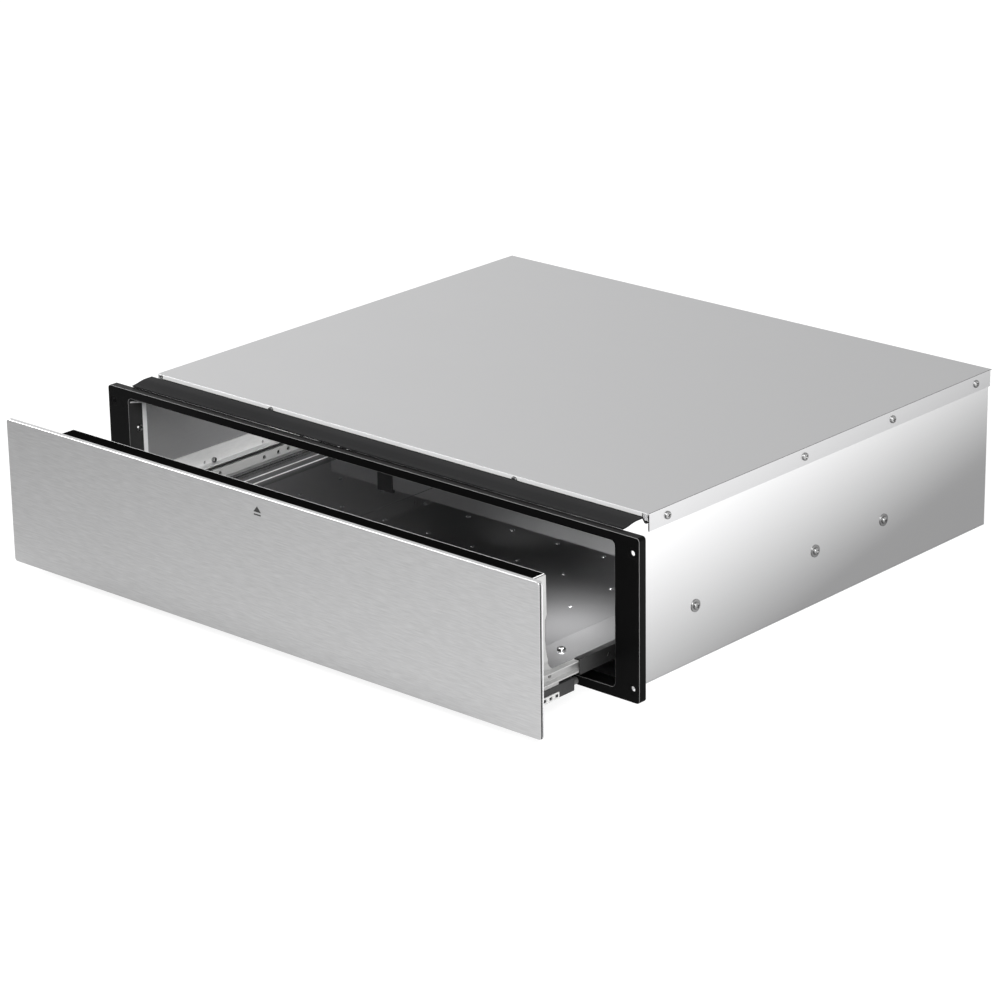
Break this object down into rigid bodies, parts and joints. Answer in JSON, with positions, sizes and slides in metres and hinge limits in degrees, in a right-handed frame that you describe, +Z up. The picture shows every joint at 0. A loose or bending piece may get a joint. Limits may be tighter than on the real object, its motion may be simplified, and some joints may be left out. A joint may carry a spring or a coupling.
{
  "type": "built-in warming drawer",
  "caption": "Built-in warming drawer for a 140 mm niche: steel cabinet with black front frame, and a heated tray on telescopic runners behind a brushed steel front.",
  "frame": {"origin": "centre of the bounding box in X and Y, on the underside of the cabinet, with the drawer 110 mm open as in the picture", "axes": "+Z up, the front panel faces -Y and the drawer opens along -Y, +X is to the right seen from the front"},
  "size_m": [0.595, 0.6244, 0.142],
  "materials": {
    "panel_steel": "fine horizontal brushing, satin",
    "cover_steel": "plain satin sheet",
    "side_steel": "bright mill finish, nearly mirror-like",
    "zinc_steel": "galvanised, faint spangle",
    "runner_steel": "zinc plated, pale",
    "tray_steel": "polished sheet",
    "screw_steel": "zinc plated",
    "frame_black": "satin black powder coat",
    "strip_grey": "matt charcoal coat",
    "black_coated": "gloss black coat",
    "floor_dark": "dark polished coating",
    "dark_board": "matt",
    "black_moulding": "fine moulded texture",
    "pale_moulding": "smooth",
    "rubber_black": "matt",
    "mat_silicone": "matt silicone",
    "fibre_board": "pressed fibre",
    "bimetal_case": "plain",
    "switch_red": "gloss",
    "lamp_amber": "translucent look"
  },
  "bodies": {
    "cabinet": {"front_frame": "frame_black", "frame_corner_brackets": "zinc_steel", "frame_screws": "screw_steel", "roof_strip": "strip_grey", "top_cover": "cover_steel", "left_side_panel": "side_steel", "right_side_panel": "side_steel", "bottom_panel": "zinc_steel", "back_panel": "zinc_steel", "cover_side_screws": "screw_steel", "cover_lip_screws": "screw_steel", "back_screws": "screw_steel", "left_runner_rail": "runner_steel", "right_runner_rail": "runner_steel", "rail_screws": "screw_steel", "rail_washers": "screw_steel", "rail_nuts": "screw_steel", "terminal_box": "black_moulding", "cable_gland": "black_moulding", "gland_nut": "black_moulding", "left_latch_striker": "zinc_steel", "right_latch_striker": "zinc_steel"},
    "drawer": {"front_skin": "panel_steel", "front_backing": "dark_board", "front_liner": "zinc_steel", "panel_bumpers": "rubber_black", "crossmember": "black_coated", "crossmember_top": "black_coated", "crossmember_base": "black_coated", "left_end_bracket": "runner_steel", "right_end_bracket": "runner_steel", "bracket_screws": "screw_steel", "left_drawer_runner": "runner_steel", "right_drawer_runner": "runner_steel", "tray": "tray_steel", "floor_plates": "floor_dark", "tray_screws": "screw_steel", "heating_mat": "mat_silicone", "insulation_board": "fibre_board", "heater_pan": "zinc_steel", "thermal_cutout": "bimetal_case", "lead_clip": "black_moulding", "thermostat": "bimetal_case", "switch_housing": "black_moulding", "rocker_pin": "screw_steel", "pilot_lamp": "lamp_amber", "left_latch_body": "black_moulding", "right_latch_body": "black_moulding", "latch_clips": "runner_steel"},
    "runner_middle_left": {"left_runner_middle": "runner_steel"},
    "runner_middle_right": {"right_runner_middle": "runner_steel"},
    "knob": {"control_knob": "black_moulding", "knob_shaft": "screw_steel"},
    "rocker": {"rocker": "switch_red"},
    "plunger_left": {"left_latch_plunger": "pale_moulding"},
    "plunger_right": {"right_latch_plunger": "pale_moulding"}
  },
  "joints": [
    {"name": "drawer_slide", "type": "slide", "parent": "cabinet", "child": "drawer", "axis": [0, -1, 0], "range_m": [-0.11, 0.21]},
    {"name": "middle_left_slide", "type": "slide", "parent": "cabinet", "child": "runner_middle_left", "axis": [0, -1, 0], "range_m": [-0.055, 0.105]},
    {"name": "middle_right_slide", "type": "slide", "parent": "cabinet", "child": "runner_middle_right", "axis": [0, -1, 0], "range_m": [-0.055, 0.105]},
    {"name": "knob_turn", "type": "hinge", "parent": "drawer", "child": "knob", "pos_m": [0.15, -0.26725, 0.084], "axis": [0, 1, 0], "range_deg": [0, 270]},
    {"name": "rocker_tip", "type": "hinge", "parent": "drawer", "child": "rocker", "pos_m": [0.088, -0.27025, 0.084], "axis": [-1, 0, 0], "range_deg": [0, 14]},
    {"name": "plunger_left_press", "type": "slide", "parent": "drawer", "child": "plunger_left", "axis": [0, -1, 0], "range_m": [0, 0.006], "stiffness_N_per_m": 400, "springref_m": -0.002},
    {"name": "plunger_right_press", "type": "slide", "parent": "drawer", "child": "plunger_right", "axis": [0, -1, 0], "range_m": [0, 0.006], "stiffness_N_per_m": 400, "springref_m": -0.002}
  ],
  "couplings": [
    {"joint": "middle_left_slide", "follows": "drawer_slide", "ratio": 0.5},
    {"joint": "middle_right_slide", "follows": "drawer_slide", "ratio": 0.5}
  ]
}
